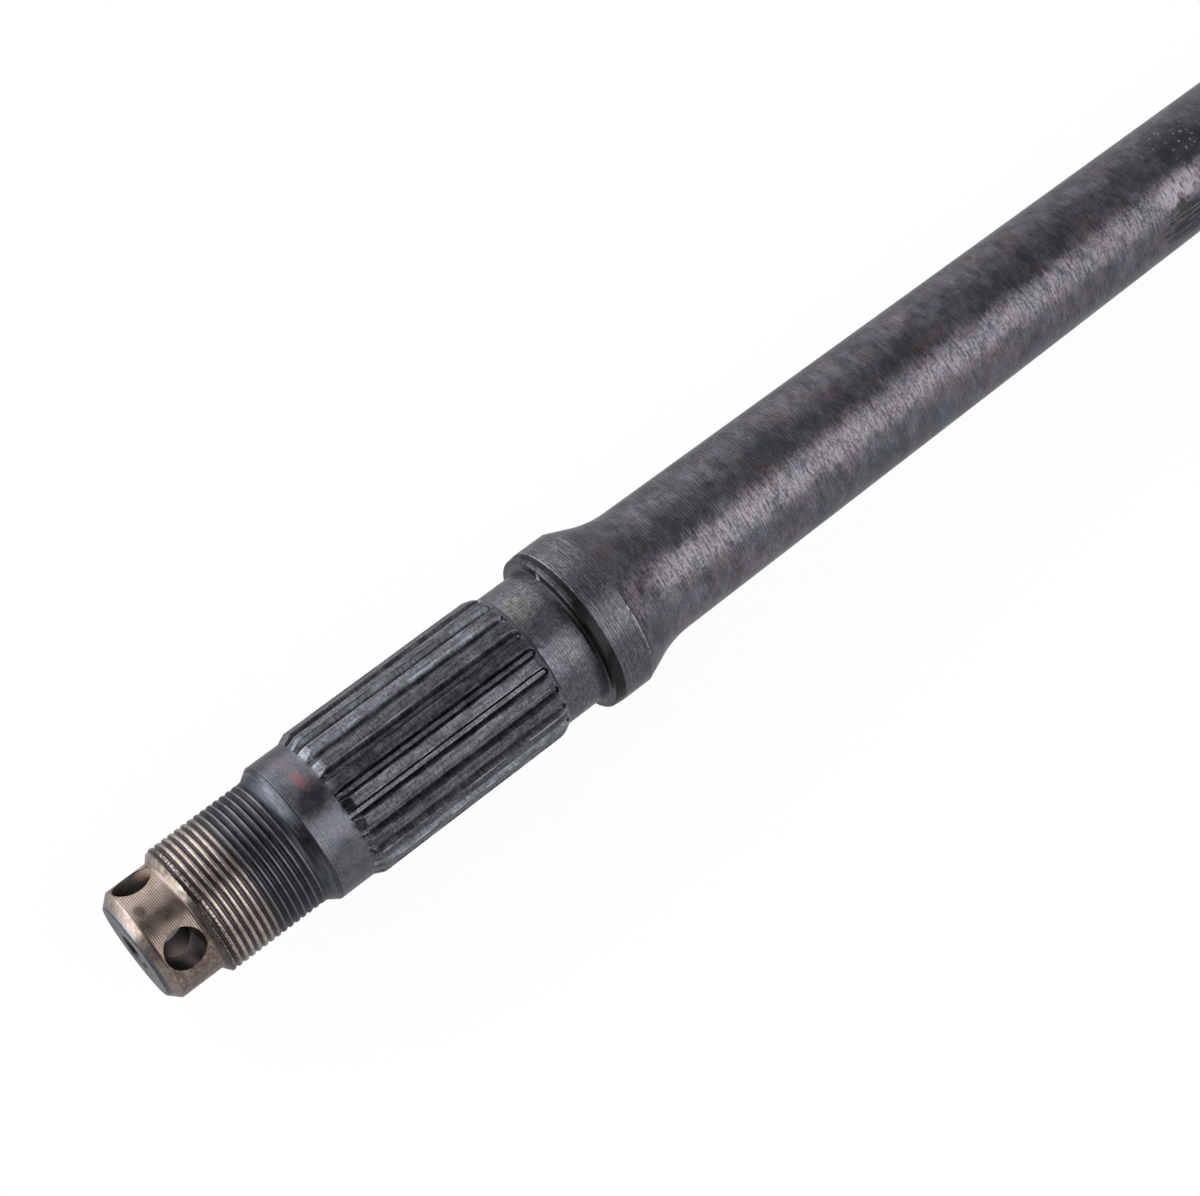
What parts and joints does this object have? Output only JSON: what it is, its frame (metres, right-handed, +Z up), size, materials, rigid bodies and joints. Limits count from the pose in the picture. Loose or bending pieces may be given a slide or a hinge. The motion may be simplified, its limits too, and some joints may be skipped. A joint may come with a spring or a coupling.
{
  "type": "rear wheel axle",
  "caption": "Long solid steel axle shaft with a cross-drilled, threaded, splined and collared end on each side and a tapering plain middle.",
  "frame": {"origin": "middle of the axle's length, on its centre line", "axes": "+Y along the centre line from the right-hand end (the one in the picture, at -Y) to the left-hand end, +Z up, +X across"},
  "size_m": [0.0362, 0.86, 0.036],
  "materials": {
    "shaft_steel": "hardened and oil-blackened turned steel, bronze-tinted bright turning at the threaded tips"
  },
  "bodies": {
    "root": {"axle_shaft": "shaft_steel"}
  },
  "joints": []
}
